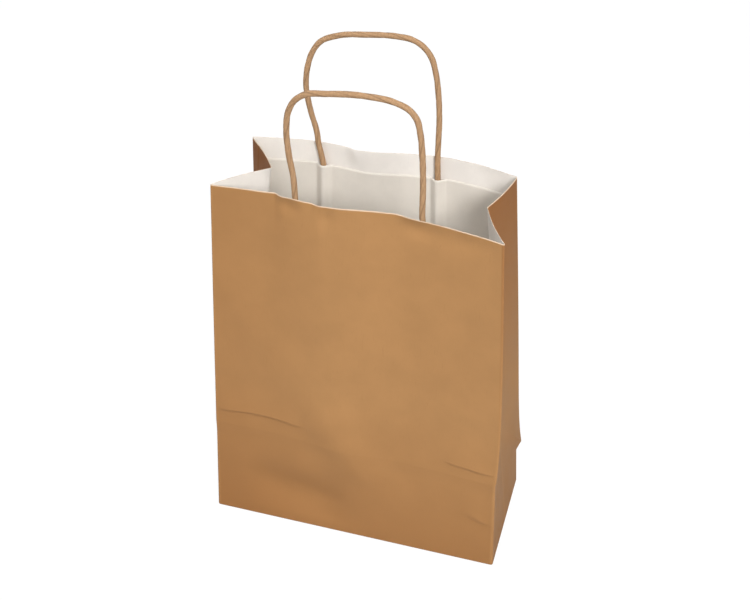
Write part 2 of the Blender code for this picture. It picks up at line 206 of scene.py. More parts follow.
# Wear with painted highlight on the folds and rim, wear of the flaps, and the painted deeper
# shade of the tucked gussets towards the rim
FOLD_WEAR_AND_HIGHLIGHT = 0.6
FLAP_WEAR = 0.35
RIM_WEAR_AND_HIGHLIGHT_REACH = 0.0012
RIM_WEAR_AND_HIGHLIGHT_FADE = 0.0008
TUCKED_SHADE = {RIGHT_FRONT: 0.75, RIGHT_BACK: 0.75, LEFT_BACK: 1.0, LEFT_FRONT: 1.0}
TUCKED_FROM = 0.10
TUCKED_OVER = 0.20

# Flaps of the block bottom: lower and upper face of each, and their cut
FRONT_FLAP_FACES = (0.00014, 0.00034)
BACK_FLAP_FACES = (0.0, 0.00018)
END_FLAP_FACES = (0.00064, 0.00090)
FLAP_OVERLAP = 0.015
END_FLAP = 0.070
END_FLAP_INSET = 0.0014
END_FLAP_TAPER = 0.006

# Handles and patches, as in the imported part
CORD_RADIUS = 0.0024
CORD_SEAT = PAPER + CLEARANCE + CORD_RADIUS
HANDLE_HEIGHT = 0.0968
FRONT_HANDLE_OFFSET = 0.0033
FRONT_HANDLE_SPACING = 0.1015
FRONT_LEAN = -4.0
BACK_HANDLE_OFFSET = -0.0085
BACK_HANDLE_SPACING = 0.095
BACK_LEAN = 4.0
BACK_SPLAY = 0.0045
FRONT_BOW = (
    (-0.005, 0.19), (-0.03, 0.40), (-0.035, 0.62), (-0.01, 0.77), (0.04, 0.865), (0.12, 0.93),
    (0.29, 0.965), (0.60, 0.995), (0.80, 0.978), (0.91, 0.93), (0.96, 0.865), (0.985, 0.755),
    (1.00, 0.57), (1.005, 0.30),
)
BACK_BOW = (
    (-0.015, 0.10), (-0.07, 0.29), (-0.107, 0.50), (-0.09, 0.68), (-0.055, 0.79), (0.015, 0.89),
    (0.15, 0.952), (0.40, 0.988), (0.63, 1.00), (0.76, 0.985), (0.845, 0.94), (0.915, 0.855),
    (0.955, 0.73), (0.985, 0.54), (1.00, 0.33), (1.00, 0.13),
)
PATCH_TOP = 0.0185
PATCH_HEIGHT = 0.050
PATCH_MARGIN = 0.004
CORD_IN_PATCH = 0.040
RIDGE_HALF_WIDTH = 0.0078

# Mesh of the cords: step along, points round, folds as place, width and depth, and lumps as
# height and rate
CORD_STEP = 0.0011
CORD_SIDES = 28
CORD_FOLDS = ((0.4, 0.30, 0.085), (2.3, 0.22, 0.045), (3.6, 0.26, 0.060), (5.1, 0.20, 0.040))
DEEPEST_FOLD = 0.085
CORD_LUMPS = ((0.018, 210), (0.012, 517))
CORD_FILL = 0.985

# Mesh of the patches: columns across, columns and reach near a ridge, rows, and how they lie
PATCH_COLUMNS = 90
RIDGE_COLUMNS = 36
RIDGE_REACH = 0.034
PATCH_FOOT = 0.004
PATCH_FOOT_ROWS = 3
PATCH_ROWS = 20
PATCH_PAPER = 0.0002
PATCH_OVER_WALL = 0.0005
PATCH_OVER_CORD = 0.0004

# Paper: gloss, painted shades of the kraft as shares of its colour, and the lie of the fibres
PAPER_IOR = 1.45
PAPER_SPECULAR = 0.22
NOISE_ROUGHNESS = 0.55
PAINTED_FOOT_AND_LEFT_SHADE = (0.80, 0.69, 0.58)
PAINTED_GUSSET_SHADE = (0.62, 0.43, 0.27)
KRAFT_FIBRES = (1.0, 1.0, 0.12)
KRAFT_FLECKS = (1.0, 1.0, 0.4)
WHITE_FIBRES = (1.0, 1.0, 0.15)
CORD_FIBRES = (1.0, 1.0, 0.35)

# Studio
LIT_POINT = (0.0, 0.0, 0.16)
SKY_LEVEL = 0.45
LAMPS = (
    Lamp("key_light", (0.95, -1.50, 1.20), 0.6, 60, 3.6),
    Lamp("front_light", (0.20, -1.3, 1.8), 0.9, 180, 5.7),
    Lamp("left_light", (-1.00, -0.5, 1.6), 0.8, 180, 6.5),
    Lamp("low_right_light", (1.4, 0.1, 0.35), 0.6, 180, 1.6),
    Lamp("top_light", (-0.15, 0.0, 2.0), 0.8, 180, 4.5),
    Lamp("back_light", (-0.4, 1.5, 1.3), 0.8, 180, 4.5),
)
FLOOR_REACH = 20.0
FLOOR_DROP = 0.0002
FLOOR_SHADE = 0.5
FLOOR_ROUGHNESS = 0.9
GLOW_STRENGTH = 1.11
GLOW_SHARE = 0.85
CAMERA_PLACE = (0.3091, -0.9762, 0.8589)
CAMERA_DOWN = 32.66
CAMERA_ROUND = 17.35
FOCAL_LENGTH = 72.0
SENSOR = 36.0


def linear(red, green, blue):
    """A colour as a shader takes it, from the values that a screen shows."""
    shares = []
    for value in (red, green, blue):
        value /= 255
        shares.append(value / 12.92 if value <= 0.04045 else ((value + 0.055) / 1.055) ** 2.4)
    return (*shares, 1.0)


class CarrierBagSizes(bpy.types.PropertyGroup):
    """Sizes that a user would change."""

    cord_diameter: FloatProperty(
        name="Cord diameter", description="Thickness of the twisted paper cord",
        default=CORD_RADIUS * 2, min=0.003, max=0.006, unit="LENGTH")
    handle_height: FloatProperty(
        name="Handle height", description="Height of the handles above the rim",
        default=HANDLE_HEIGHT, min=0.05, max=0.12, unit="LENGTH")
    twist_pitch: FloatProperty(
        name="Twist pitch", description="Length of cord in which the paper turns once",
        default=0.052, min=0.01, max=0.08, unit="LENGTH")
    crumple: FloatProperty(
        name="Crumple", description="Strength of the dents and creases in the sheet",
        default=1.0, min=0.0, max=1.5, subtype="FACTOR")


class CarrierBagColours(bpy.types.PropertyGroup):
    """Colours that a user would change."""

    kraft: FloatVectorProperty(
        name="Kraft paper", description="Outer face of the sheet", size=4, min=0.0, max=1.0,
        default=linear(168, 125, 80), subtype="COLOR")
    white: FloatVectorProperty(
        name="White paper", description="Inner face of the sheet", size=4, min=0.0, max=1.0,
        default=linear(232, 226, 219), subtype="COLOR")
    patch: FloatVectorProperty(
        name="Patch paper", description="Patches over the ends of the cords", size=4, min=0.0,
        max=1.0, default=linear(218, 211, 201), subtype="COLOR")
    cut_edge: FloatVectorProperty(
        name="Cut edge", description="Bare edge of the sheet", size=4, min=0.0, max=1.0,
        default=linear(224, 199, 172), subtype="COLOR")
    cord: FloatVectorProperty(
        name="Cord", description="Twisted paper of the handles", size=4, min=0.0, max=1.0,
        default=linear(175, 139, 104), subtype="COLOR")


def smooth(places, values, at):
    """Reads a smooth curve through the given values."""
    places = np.asarray(places, float)
    values = np.asarray(values, float)
    slopes = np.gradient(values, places, axis=0)
    at = np.asarray(at, float)
    index = np.clip(np.searchsorted(places, at) - 1, 0, len(places) - 2)
    span = places[index + 1] - places[index]
    share = (at - places[index]) / span
    if values.ndim > 1:
        span, share = span[..., None], share[..., None]
    start, end = values[index], values[index + 1]
    return (
        (2 * share**3 - 3 * share**2 + 1) * start
        + (share**3 - 2 * share**2 + share) * span * slopes[index]
        + (3 * share**2 - 2 * share**3) * end
        + (share**3 - share**2) * span * slopes[index + 1]
    )


def distances(points):
    """Length of the way to each point of a line from its first one."""
    return np.concatenate([[0.0], np.cumsum(np.linalg.norm(np.diff(points, axis=0), axis=1))])


def bump(distance, width):
    """A soft hump, 1 at its middle."""
    return np.exp(-((distance / width) ** 2))


def swell(distance, above, below):
    """A soft hump with its own width on each side."""
    return bump(distance, np.where(distance > 0, above, below))


def crest(distance, above, below):
    """A crease with a sharp crest, which falls away at its own rate on each side."""
    return np.where(distance > 0, np.exp(-distance / above), np.exp(distance / below))


def ends(share, fade):
    """1 along a crease and 0 past its ends."""
    start = 1 + np.exp(-share / fade * END_STEEPNESS)
    end = 1 + np.exp((share - 1) / fade * END_STEEPNESS)
    return 1 / start / end


def along_line(line, x, z):
    """Share of the way along a slightly arched line, and the distance from it, positive above."""
    start, end = np.array(line.start), np.array(line.end)
    way = end - start
    length = float(np.hypot(*way))
    share = ((x - start[0]) * way[0] + (z - start[1]) * way[1]) / length**2
    distance = ((z - start[1]) * way[0] - (x - start[0]) * way[1]) / length
    return share, distance - line.arch * np.sin(math.pi * np.clip(share, 0.0, 1.0))


def along_arc(arc, x, z):
    """Share of the way clockwise along an arc, and the distance from it, positive outside."""
    right, up = x - arc.centre[0], z - arc.centre[1]
    share = (math.radians(arc.start) - np.arctan2(up, right)) / math.radians(arc.turn)
    return share, np.hypot(right, up) - arc.radius


def creases(panel, x, z):
    """How far the creases and dents of a panel lift each point out of it."""
    out = CROSS_RIDGE[panel] * crest(z - BACK_CREASE, CROSS_RIDGE_WIDTH, CROSS_RIDGE_WIDTH)
    for form in FORMS[panel]:
        along = along_arc if isinstance(form.path, Arc) else along_line
        profile = crest if form.sharp else swell
        share, off = along(form.path, x, z)
        out += ends(share, form.fade) * form.height * profile(off, form.above, form.below)
    down = HEIGHT - z
    for dent in RIM_DENTS[panel]:
        out += dent.height * bump(x - dent.x, dent.width) * bump(down - dent.down, dent.reach)
    return out


def waviness(x, z, seed):
    """Slow unevenness of the paper, from a few crossing waves."""
    draw = np.random.default_rng(seed)
    total = np.zeros_like(x)
    for _ in range(WAVE_COUNT):
        angle = draw.uniform(0, math.pi)
        length = draw.uniform(SHORTEST_WAVE, LONGEST_WAVE)
        phase = draw.uniform(0, 2 * math.pi)
        way = x * math.cos(angle) + z * math.sin(angle)
        total += np.sin(way * 2 * math.pi / length + phase) * length / LONGEST_WAVE
    return total / WAVE_COUNT


def fold_points(fold, rows):
    """A long fold at the given rows: 0 is the foot, 1 the cross crease and 2 the rim."""
    low, high = np.minimum(rows, 1.0), np.maximum(rows - 1.0, 0.0)
    z = PAPER + (fold.crease - PAPER) * low + (fold.top - fold.crease) * high
    past = z - fold.crease
    below = np.maximum(0.0, 1 + past / CREASE_LIP)
    ridge = np.where(past < 0, below, np.exp(-np.maximum(past, 0.0) / CREASE_FADE))
    belly = fold.belly * np.sin(math.pi * high**BELLY_POWER)
    push = fold.ridge * ridge
    climb = (z - PAPER) / (fold.top - PAPER)
    x = fold.foot[0] + (fold.rim[0] - fold.foot[0]) * climb + fold.outward[0] * push + belly
    y = fold.foot[1] + (fold.rim[1] - fold.foot[1]) * climb + fold.outward[1] * push
    return np.stack([x, y, z], axis=-1)


def wave(panel, shares, rows):
    """How far a panel leaves the plane between its folds."""
    depth = (rows / 2) ** WAVE_POWER
    if panel == FRONT:
        soft = smooth(*zip(*FRONT_WAVE), shares)
        sharp = smooth(*zip(*FRONT_RIM), shares)
        down = (2 - rows) * (HEIGHT - FOLDS[FRONT].crease)
        return FRONT_WAVE_DEPTH * depth * (soft + (sharp - soft) * np.exp(-down / RIM_STEP_FADE))
    if panel == BACK:
        return BACK_WAVE_DEPTH * smooth(*zip(*BACK_WAVE), 1 - shares) * depth
    return np.zeros_like(shares * depth)


def panel_points(panel, shares, rows):
    """Outer face of a panel without dents, for matching arrays of shares and rows."""
    shares, rows = np.broadcast_arrays(np.asarray(shares, float), np.asarray(rows, float))
    start = fold_points(FOLDS[panel], rows)
    end = fold_points(FOLDS[(panel + 1) % len(FOLDS)], rows)
    points = start + (end - start) * shares[..., None]
    points[..., 1] += wave(panel, shares, rows)
    if panel in GUSSET_BOWS:
        way = 1 if panel in (RIGHT_FRONT, RIGHT_BACK) else -1
        bow = GUSSET_BOWS[panel] * np.sin(math.pi * shares) * (rows / 2) ** GUSSET_BOW_POWER
        points[..., 0] += way * bow
    return points


def held(near, z, fold_hold, foot_hold):
    """0 at the folds and at the foot of a panel, 1 away from them."""
    return np.clip(near / fold_hold, 0.0, 1.0) * np.clip(z / foot_hold, 0.0, 1.0)


def wall_points(panel, shares, rows, strength):
    """Outer face of a panel with its dents, which fade out towards its folds and its foot."""
    points = panel_points(panel, shares, rows)
    x, y, z = np.moveaxis(points, -1, 0)
    near = np.minimum(shares, 1 - shares)
    if panel in (FRONT, BACK):
        hold = held(near, z, PANEL_FOLD_HOLD, PANEL_FOOT_HOLD) * strength
        way = -1 if panel == FRONT else 1
        uneven = PANEL_UNEVEN * waviness(x, z, PANEL_SEED + panel)
        points[..., 1] += way * hold * (creases(panel, x, z) + uneven)
    else:
        hold = held(near, z, GUSSET_FOLD_HOLD, GUSSET_FOOT_HOLD) * strength
        way = 1 if panel in (RIGHT_FRONT, RIGHT_BACK) else -1
        uneven = waviness(y * GUSSET_SQUEEZE, z, GUSSET_SEED + panel)
        points[..., 0] += way * hold * GUSSET_UNEVEN * uneven
    return points


def rounded(before, corner, after, length):
    """The corner of a fold as a short arc, for all rows at once."""
    toward, away = before - corner, after - corner
    start = corner + toward * (length / np.linalg.norm(toward, axis=-1, keepdims=True))
    end = corner + away * (length / np.linalg.norm(away, axis=-1, keepdims=True))
    steps = np.linspace(0.0, 1.0, ROUND_POINTS)
    return [(1 - t) ** 2 * start + 2 * t * (1 - t) * corner + t**2 * end for t in steps]


def sheet_rows():
    """Rows from the foot to the rim, closer together at the cross crease and the rim."""
    spans = [np.linspace(low, high, count) for low, high, count in ROW_SPANS]
    heights = np.concatenate([*spans, [*TOP_ROWS, HEIGHT]])
    crease = (FOLDS[FRONT].crease + FOLDS[RIGHT_FRONT].crease) / 2
    low = (heights - PAPER) / (crease - PAPER)
    high = 1 + (heights - crease) / (HEIGHT - crease)
    return np.where(heights < crease, low, high)


def near_step(share):
    """Whether a column gives way to the finer columns of a step in the rim."""
    return any(low - STEP_MARGIN < share < high + STEP_MARGIN for low, high in RIM_STEPS)


def column_shares(panel):
    """Columns of a panel, clear of the rounded folds at both ends."""
    width = WIDTH * NARROW_PANEL if panel in (FRONT, BACK) else HALF_Y * NARROW_GUSSET
    gap = (CORNER_ROUND + FOLD_GAP) / width
    shares = np.linspace(gap, 1 - gap, PANEL_STEPS[panel])
    if panel == FRONT:
        fine = np.concatenate([np.linspace(low, high, STEP_COLUMNS) for low, high in RIM_STEPS])
        rough = [share for share in shares if not near_step(share)]
        shares = np.sort(np.concatenate([rough, fine]))
    if panel == LEFT_BACK:
        shares = shares[np.abs(shares - LAP_EDGE) > LAP_MARGIN]
        shares = np.sort(np.concatenate([shares, [LAP_EDGE, LAP_EDGE + LAP_STEP]]))
    return shares


def join_panels(panels, rows):
    """Columns right round the sheet, with an arc at each fold before the panel that follows it,
    and 1 for each column of an arc."""
    columns = []
    folded = []
    for number, fold in enumerate(FOLDS):
        before, after = panels[number - 1][:, -1], panels[number][:, 0]
        arc = rounded(before, fold_points(fold, rows), after, fold.rounding)
        here = panels[number]
        columns += arc + [here[:, column] for column in range(here.shape[1])]
        folded += [1.0] * len(arc) + [0.0] * here.shape[1]
    return np.stack(columns, axis=1), np.array(folded)


def sheet_contours(strength):
    """Closed lines round the outer face, one per row, and 1 for each column in the arc of a fold,
    where wear and a painted highlight go.
    """
    rows = sheet_rows()
    panels = []
    for panel in range(len(FOLDS)):
        shares = column_shares(panel)
        points = wall_points(panel, shares[None, :], rows[:, None], strength)
        if panel == LEFT_BACK:
            points[..., 0] -= np.where(shares <= LAP_EDGE, PAPER, 0.0)[None, :]
        panels.append(points)
    return join_panels(panels, rows)


def bottom_contour():
    """The lowest contour of the walls, where they meet the base."""
    row = np.array([0.0])
    panels = [
        panel_points(panel, column_shares(panel)[None, :], row[:, None])
        for panel in range(len(FOLDS))
    ]
    return join_panels(panels, row)[0][0]


def foot_rows(first):
    """Rows where the wall turns under into the base, after a ring inside the base."""
    rows = [first * np.array((1 - BASE_RING / HALF_X, 1 - BASE_RING / HALF_Y, 1.0))]
    for step in range(FOOT_TURNS):
        angle = math.radians(90) * step / FOOT_TURNS
        inset = FOOT_RADIUS * (1 - math.sin(angle))
        rise = FOOT_RADIUS * (1 - math.cos(angle))
        shrink = np.array((1 - inset / HALF_X, 1 - inset / HALF_Y, 1.0))
        rows.append(first * shrink + np.array((0.0, 0.0, rise)))
    return rows


def add_mesh(name, points, faces):
    """A smooth-shaded mesh object in the scene."""
    mesh = bpy.data.meshes.new(name)
    mesh.from_pydata([tuple(point) for point in points], [], faces)
    mesh.update()
    mesh.polygons.foreach_set("use_smooth", [True] * len(faces))
    piece = bpy.data.objects.new(name, mesh)
    bpy.context.scene.collection.objects.link(piece)
    return piece


def grid_faces(row_count, column_count, closed):
    """Quads between rows of points."""
    faces = []
    last = column_count if closed else column_count - 1
    for row in range(row_count - 1):
        for column in range(last):
            after = (column + 1) % column_count
            low, high = row * column_count, (row + 1) * column_count
            faces.append((low + column, low + after, high + after, high + column))
    return faces


def add_attribute(piece, name, values):
    """Values at the points of a piece, for its material to read."""
    attribute = piece.data.attributes.new(name, "FLOAT", "POINT")
    attribute.data.foreach_set("value", np.asarray(values, np.float32))


def add_solidify(piece, offset, thickness, inner=0, rim=0):
    """Gives a surface the thickness of its paper, with its own materials inside and on the rim."""
    thick = piece.modifiers.new("Paper", "SOLIDIFY")
    thick.thickness = thickness
    thick.offset = offset
    thick.use_even_offset = True
    thick.material_offset = inner
    thick.material_offset_rim = rim


class PaperNodes:
    """Builds one paper material out of nodes."""

    def __init__(self, name, colour, roughness):
        self.material = bpy.data.materials.new(name)
        self.material.use_nodes = True
        self.material.diffuse_color = colour
        self.tree = self.material.node_tree
        self.shader = self.tree.nodes["Principled BSDF"]
        self.shader.inputs["Roughness"].default_value = roughness
        self.shader.inputs["IOR"].default_value = PAPER_IOR
        self.shader.inputs["Specular IOR Level"].default_value = PAPER_SPECULAR
        self.place = self.tree.nodes.new("ShaderNodeTexCoord").outputs["Object"]

    def noise(self, scale, detail, stretch=(1.0, 1.0, 1.0)):
        """Cloudy noise over the piece, which a small stretch draws out along an axis."""
        place = self.tree.nodes.new("ShaderNodeMapping")
        place.inputs["Scale"].default_value = stretch
        self.tree.links.new(self.place, place.inputs["Vector"])
        node = self.tree.nodes.new("ShaderNodeTexNoise")
        node.inputs["Scale"].default_value = scale
        node.inputs["Detail"].default_value = detail
        node.inputs["Roughness"].default_value = NOISE_ROUGHNESS
        self.tree.links.new(place.outputs["Vector"], node.inputs["Vector"])
        return node.outputs["Fac"]

    def spread(self, source, low, high, to_low=0.0, to_high=1.0):
        """Maps a range of values onto another, and holds them inside it."""
        node = self.tree.nodes.new("ShaderNodeMapRange")
        node.inputs["From Min"].default_value = low
        node.inputs["From Max"].default_value = high
        node.inputs["To Min"].default_value = to_low
        node.inputs["To Max"].default_value = to_high
        self.tree.links.new(source, node.inputs["Value"])
        return node.outputs["Result"]

    def blend(self, factor, first, second):
        """Mixes two colours, or the outcome of another blend, by a factor."""
        node = self.tree.nodes.new("ShaderNodeMix")
        node.data_type = "RGBA"
        for socket, value in (("A", first), ("B", second)):
            target = [item for item in node.inputs if item.name == socket and item.type == "RGBA"][0]
            if isinstance(value, bpy.types.NodeSocket):
                self.tree.links.new(value, target)
            else:
                target.default_value = value
        self.tree.links.new(factor, node.inputs["Factor"])
        return [item for item in node.outputs if item.type == "RGBA"][0]

    def part_of_place(self, axis):
        """The place on the piece along one axis."""
        node = self.tree.nodes.new("ShaderNodeSeparateXYZ")
        self.tree.links.new(self.place, node.inputs["Vector"])
        return node.outputs[axis]

    def attribute(self, name):
        """Values that the mesh of the piece carries."""
        node = self.tree.nodes.new("ShaderNodeAttribute")
        node.attribute_name = name
        return node.outputs["Fac"]

    def add(self, first, second):
        """Sum of two values."""
        node = self.tree.nodes.new("ShaderNodeMath")
        node.operation = "ADD"
        self.tree.links.new(first, node.inputs[0])
        self.tree.links.new(second, node.inputs[1])
        return node.outputs["Value"]

    def colour(self, source):
        """Takes the colour of the paper from a socket."""
        self.tree.links.new(source, self.shader.inputs["Base Color"])

    def roughness(self, source):
        """Takes the roughness of the paper from a socket."""
        self.tree.links.new(source, self.shader.inputs["Roughness"])

    def relief(self, source, distance, strength):
        """Fine relief of the paper's face."""
        node = self.tree.nodes.new("ShaderNodeBump")
        node.inputs["Strength"].default_value = strength
        node.inputs["Distance"].default_value = distance
        self.tree.links.new(source, node.inputs["Height"])
        self.tree.links.new(node.outputs["Normal"], self.shader.inputs["Normal"])


def shade(colour, factor):
    """A colour made darker or paler."""
    return (*[channel * factor for channel in colour[:3]], 1.0)


def tone(colour, factors):
    """A colour with its own factor for red, green and blue."""
    return (*[channel * factor for channel, factor in zip(colour[:3], factors)], 1.0)


def kraft_material(colours):
    """Brown kraft: cloudy pulp, short fibres along the sheet, paler folds and rim that are partly
    wear and partly painted highlight, a band of cut-edge colour with a painted highlight at the rim,
    and painted shade at the foot, on the left and in the tucked gussets."""
    paper = PaperNodes("brown_kraft", colours.kraft, 0.45)
    kraft = tuple(colours.kraft)
    clouds = paper.spread(paper.noise(scale=34.0, detail=3.0), low=0.35, high=0.65)
    base = paper.blend(clouds, shade(kraft, 0.955), shade(kraft, 1.03))
    fibres = paper.noise(scale=900.0, detail=3.0, stretch=KRAFT_FIBRES)
    dark = paper.spread(fibres, low=0.60, high=0.78, to_high=0.35)
    base = paper.blend(dark, base, shade(kraft, 0.80))
    flecks = paper.noise(scale=1500.0, detail=2.0, stretch=KRAFT_FLECKS)
    pale = paper.spread(flecks, low=0.68, high=0.80, to_high=0.5)
    base = paper.blend(pale, base, shade(kraft, 1.22))
    # Painted shade: the kraft darker and redder towards the foot and on the left
    foot = paper.spread(paper.part_of_place("Z"), low=0.0, high=0.14, to_low=0.68, to_high=0.0)
    left = paper.spread(paper.part_of_place("X"), low=-0.12, high=-0.02, to_low=0.32, to_high=0.0)
    base = paper.blend(paper.add(foot, left), base, tone(kraft, PAINTED_FOOT_AND_LEFT_SHADE))
    # Painted shade: the tucked gussets darker and redder towards the rim
    base = paper.blend(paper.attribute("tucked"), base, tone(kraft, PAINTED_GUSSET_SHADE))
    # Paler folds and rim: partly wear, partly painted highlight
    wear_and_highlight_amount = paper.spread(paper.attribute("wear_and_highlight"), low=0.0, high=1.0, to_high=0.45)
    base = paper.blend(wear_and_highlight_amount, base, shade(kraft, 1.18))
    # Top rows of the outer face in the cut edge's colour: partly its own colour, partly a painted
    # highlight
    base = paper.blend(paper.attribute("edge"), base, tuple(colours.cut_edge))
    paper.colour(base)
    paper.roughness(paper.spread(clouds, low=0.0, high=1.0, to_low=0.50, to_high=0.58))
    grain = paper.add(fibres, paper.noise(scale=420.0, detail=4.0))
    paper.relief(grain, distance=0.00003, strength=0.6)
    return paper.material


def white_material(name, colour):
    """White paper face with a faint pulp cloud and fibre grain."""
    paper = PaperNodes(name, colour, 0.55)
    white = tuple(colour)
    clouds = paper.spread(paper.noise(scale=60.0, detail=3.0), low=0.35, high=0.65)
    base = paper.blend(clouds, shade(white, 0.97), shade(white, 1.02))
    fibres = paper.noise(scale=800.0, detail=3.0, stretch=WHITE_FIBRES)
    grey = paper.spread(fibres, low=0.62, high=0.80, to_high=0.4)
    paper.colour(paper.blend(grey, base, shade(white, 0.90)))
    paper.roughness(paper.spread(clouds, low=0.0, high=1.0, to_low=0.50, to_high=0.60))
    paper.relief(fibres, distance=0.00003, strength=0.5)
    return paper.material


def edge_material(colours):
    """Bare cut edge of the sheet."""
    paper = PaperNodes("cut_edge", colours.cut_edge, 0.8)
    edge = tuple(colours.cut_edge)
    grain = paper.noise(scale=700.0, detail=2.0)
    paper.colour(paper.blend(grain, shade(edge, 0.92), shade(edge, 1.05)))
    return paper.material


def cord_material(colours):
    """Twisted paper: pale crests, and painted shade darkening the grooves where the paper folds in.
    """
    paper = PaperNodes("cord_paper", colours.cord, 0.68)
    cord = tuple(colours.cord)
    fibres = paper.noise(scale=650.0, detail=4.0, stretch=CORD_FIBRES)
    grain = paper.spread(fibres, low=0.40, high=0.68)
    base = paper.blend(grain, shade(cord, 0.88), shade(cord, 1.06))
    # Painted shade in the grooves where the paper folds in
    painted_groove_shade = paper.spread(paper.attribute("painted_groove_shade"), low=0.15, high=1.0, to_high=0.75)
    paper.colour(paper.blend(painted_groove_shade, base, shade(cord, 0.52)))
    paper.relief(fibres, distance=0.00008, strength=0.7)
    return paper.material


def build_sheet(sizes, colours):
    """The folded sheet: its walls with their creases, and the base that they turn under into."""
    lines, folded = sheet_contours(sizes.crumple)
    rows = foot_rows(bottom_contour()) + list(lines)
    count = lines.shape[1]
    points = np.concatenate(rows)
    faces = grid_faces(len(rows), count, closed=True)
    faces.append(tuple(range(count - 1, -1, -1)))
    sheet = add_mesh("bag_sheet", points, faces)
    sheet.data.polygons[-1].use_smooth = False
    heights = points[:, 2]
    # Wear and painted highlight along the folds and the rim
    rim_wear_and_highlight = np.clip((heights - (HEIGHT - RIM_WEAR_AND_HIGHLIGHT_REACH)) / RIM_WEAR_AND_HIGHLIGHT_FADE, 0.0, 1.0)
    add_attribute(sheet, "wear_and_highlight", np.maximum(np.tile(folded, len(rows)) * FOLD_WEAR_AND_HIGHLIGHT, rim_wear_and_highlight))
    # Painted shade of the tucked gussets, growing towards the rim
    sides = np.concatenate([
        np.full(ROUND_POINTS + len(column_shares(panel)), TUCKED_SHADE.get(panel, 0.0))
        for panel in range(len(FOLDS))])
    climb = np.clip((heights - TUCKED_FROM) / TUCKED_OVER, 0.0, 1.0)
    add_attribute(sheet, "tucked", np.tile(sides, len(rows)) * climb)
    # Band of cut-edge colour with a painted highlight along the rim
    edge_band_and_highlight = np.arange(len(rows)) >= len(rows) - EDGE_ROWS
    add_attribute(sheet, "edge", edge_band_and_highlight.repeat(count))
    for material in (kraft_material(colours), white_material("white_inside", colours.white),
                     edge_material(colours)):
        sheet.data.materials.append(material)
    add_solidify(sheet, -1.0, PAPER, inner=1, rim=2)
    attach(sheet, "root")
    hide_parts("bag_body")


def bottom_flap(name, outline, levels, material):
    """One flat flap of the block bottom, as a thin plate."""
    points = [(x, y, level) for level in levels for x, y in outline]
    count = len(outline)
    faces = [tuple(range(count - 1, -1, -1)), tuple(range(count, 2 * count))]
    faces += [(n, (n + 1) % count, count + (n + 1) % count, count + n) for n in range(count)]
    piece = add_mesh(name, points, faces)
    piece.data.polygons.foreach_set("use_smooth", [False] * len(faces))
    add_attribute(piece, "wear_and_highlight", [FLAP_WEAR] * len(points))
    piece.data.materials.append(material)
    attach(piece, "root")


def build_bottom():
    """Front and back flap under the base, cut off at 45 degrees at both ends, and the two end
    flaps, which show white inside the bag."""
    kraft = bpy.data.materials["brown_kraft"]
    white = bpy.data.materials["white_inside"]
    front_left, front_right, back_right, back_left = [np.array(foot) for foot in FEET]
    across = (front_right - front_left) / np.linalg.norm(front_right - front_left)
    down = np.array((0.0, -1.0))
    edge = FOOT_RADIUS
    reach = HALF_Y + FLAP_OVERLAP
    front = (
        front_left + across * edge - down * edge,
        front_left + across * HALF_Y - down * HALF_Y,
        front_right - across * HALF_Y - down * HALF_Y,
        front_right - across * edge - down * edge,
    )
    back = (
        back_right - across * edge + down * edge,
        back_right - across * reach + down * reach,
        back_left + across * reach + down * reach,
        back_left + across * edge + down * edge,
    )
    bottom_flap("front_bottom_flap", front[::-1], FRONT_FLAP_FACES, kraft)
    bottom_flap("back_bottom_flap", back[::-1], BACK_FLAP_FACES, kraft)
    inset, taper = END_FLAP_INSET, END_FLAP_INSET + END_FLAP_TAPER
    for name, way, near, far in (
            ("left_end_flap", 1, front_left, back_left),
            ("right_end_flap", -1, front_right, back_right)):
        inward = across * way
        outline = (
            near + inward * inset - down * inset,
            near + inward * END_FLAP - down * taper,
            far + inward * END_FLAP + down * taper,
            far + inward * inset + down * inset,
        )
        bottom_flap(name, outline[::way], END_FLAP_FACES, white)


def inner_points(panel, shares, heights, distance, strength):
    """Points at a distance inwards from the outer face of a panel, at the given heights."""
    first, second = FOLDS[panel], FOLDS[(panel + 1) % len(FOLDS)]
    crease = first.crease + (second.crease - first.crease) * shares
    top = first.top + (second.top - first.top) * shares
    rows = 1 + (heights - crease) / (top - crease)
    points = wall_points(panel, shares, rows, strength)
    across = fold_points(second, rows) - fold_points(first, rows)
    level = np.hypot(across[..., 0], across[..., 1])
    points[..., 0] -= across[..., 1] / level * distance
    points[..., 1] += across[..., 0] / level * distance
    return points


def leg_shares(panel, middle, spacing):
    """The columns of a panel that the left and the right leg of a handle stand on."""
    start, end = panel_points(panel, np.array([0.0, 1.0]), 2.0)
    places = [middle + side * spacing / 2 for side in (-1, 1)]
    return [(x - start[0]) / (end[0] - start[0]) for x in places]


def handles():
    """Both handles, with the columns of the panels that their legs stand on."""
    front = leg_shares(FRONT, FRONT_HANDLE_OFFSET, FRONT_HANDLE_SPACING)
    back = leg_shares(BACK, BACK_HANDLE_OFFSET, BACK_HANDLE_SPACING)
    return (
        Handle("front", FRONT, front, 0.0, FRONT_LEAN, FRONT_BOW),
        Handle("back", BACK, back, BACK_SPLAY, BACK_LEAN, BACK_BOW),
    )


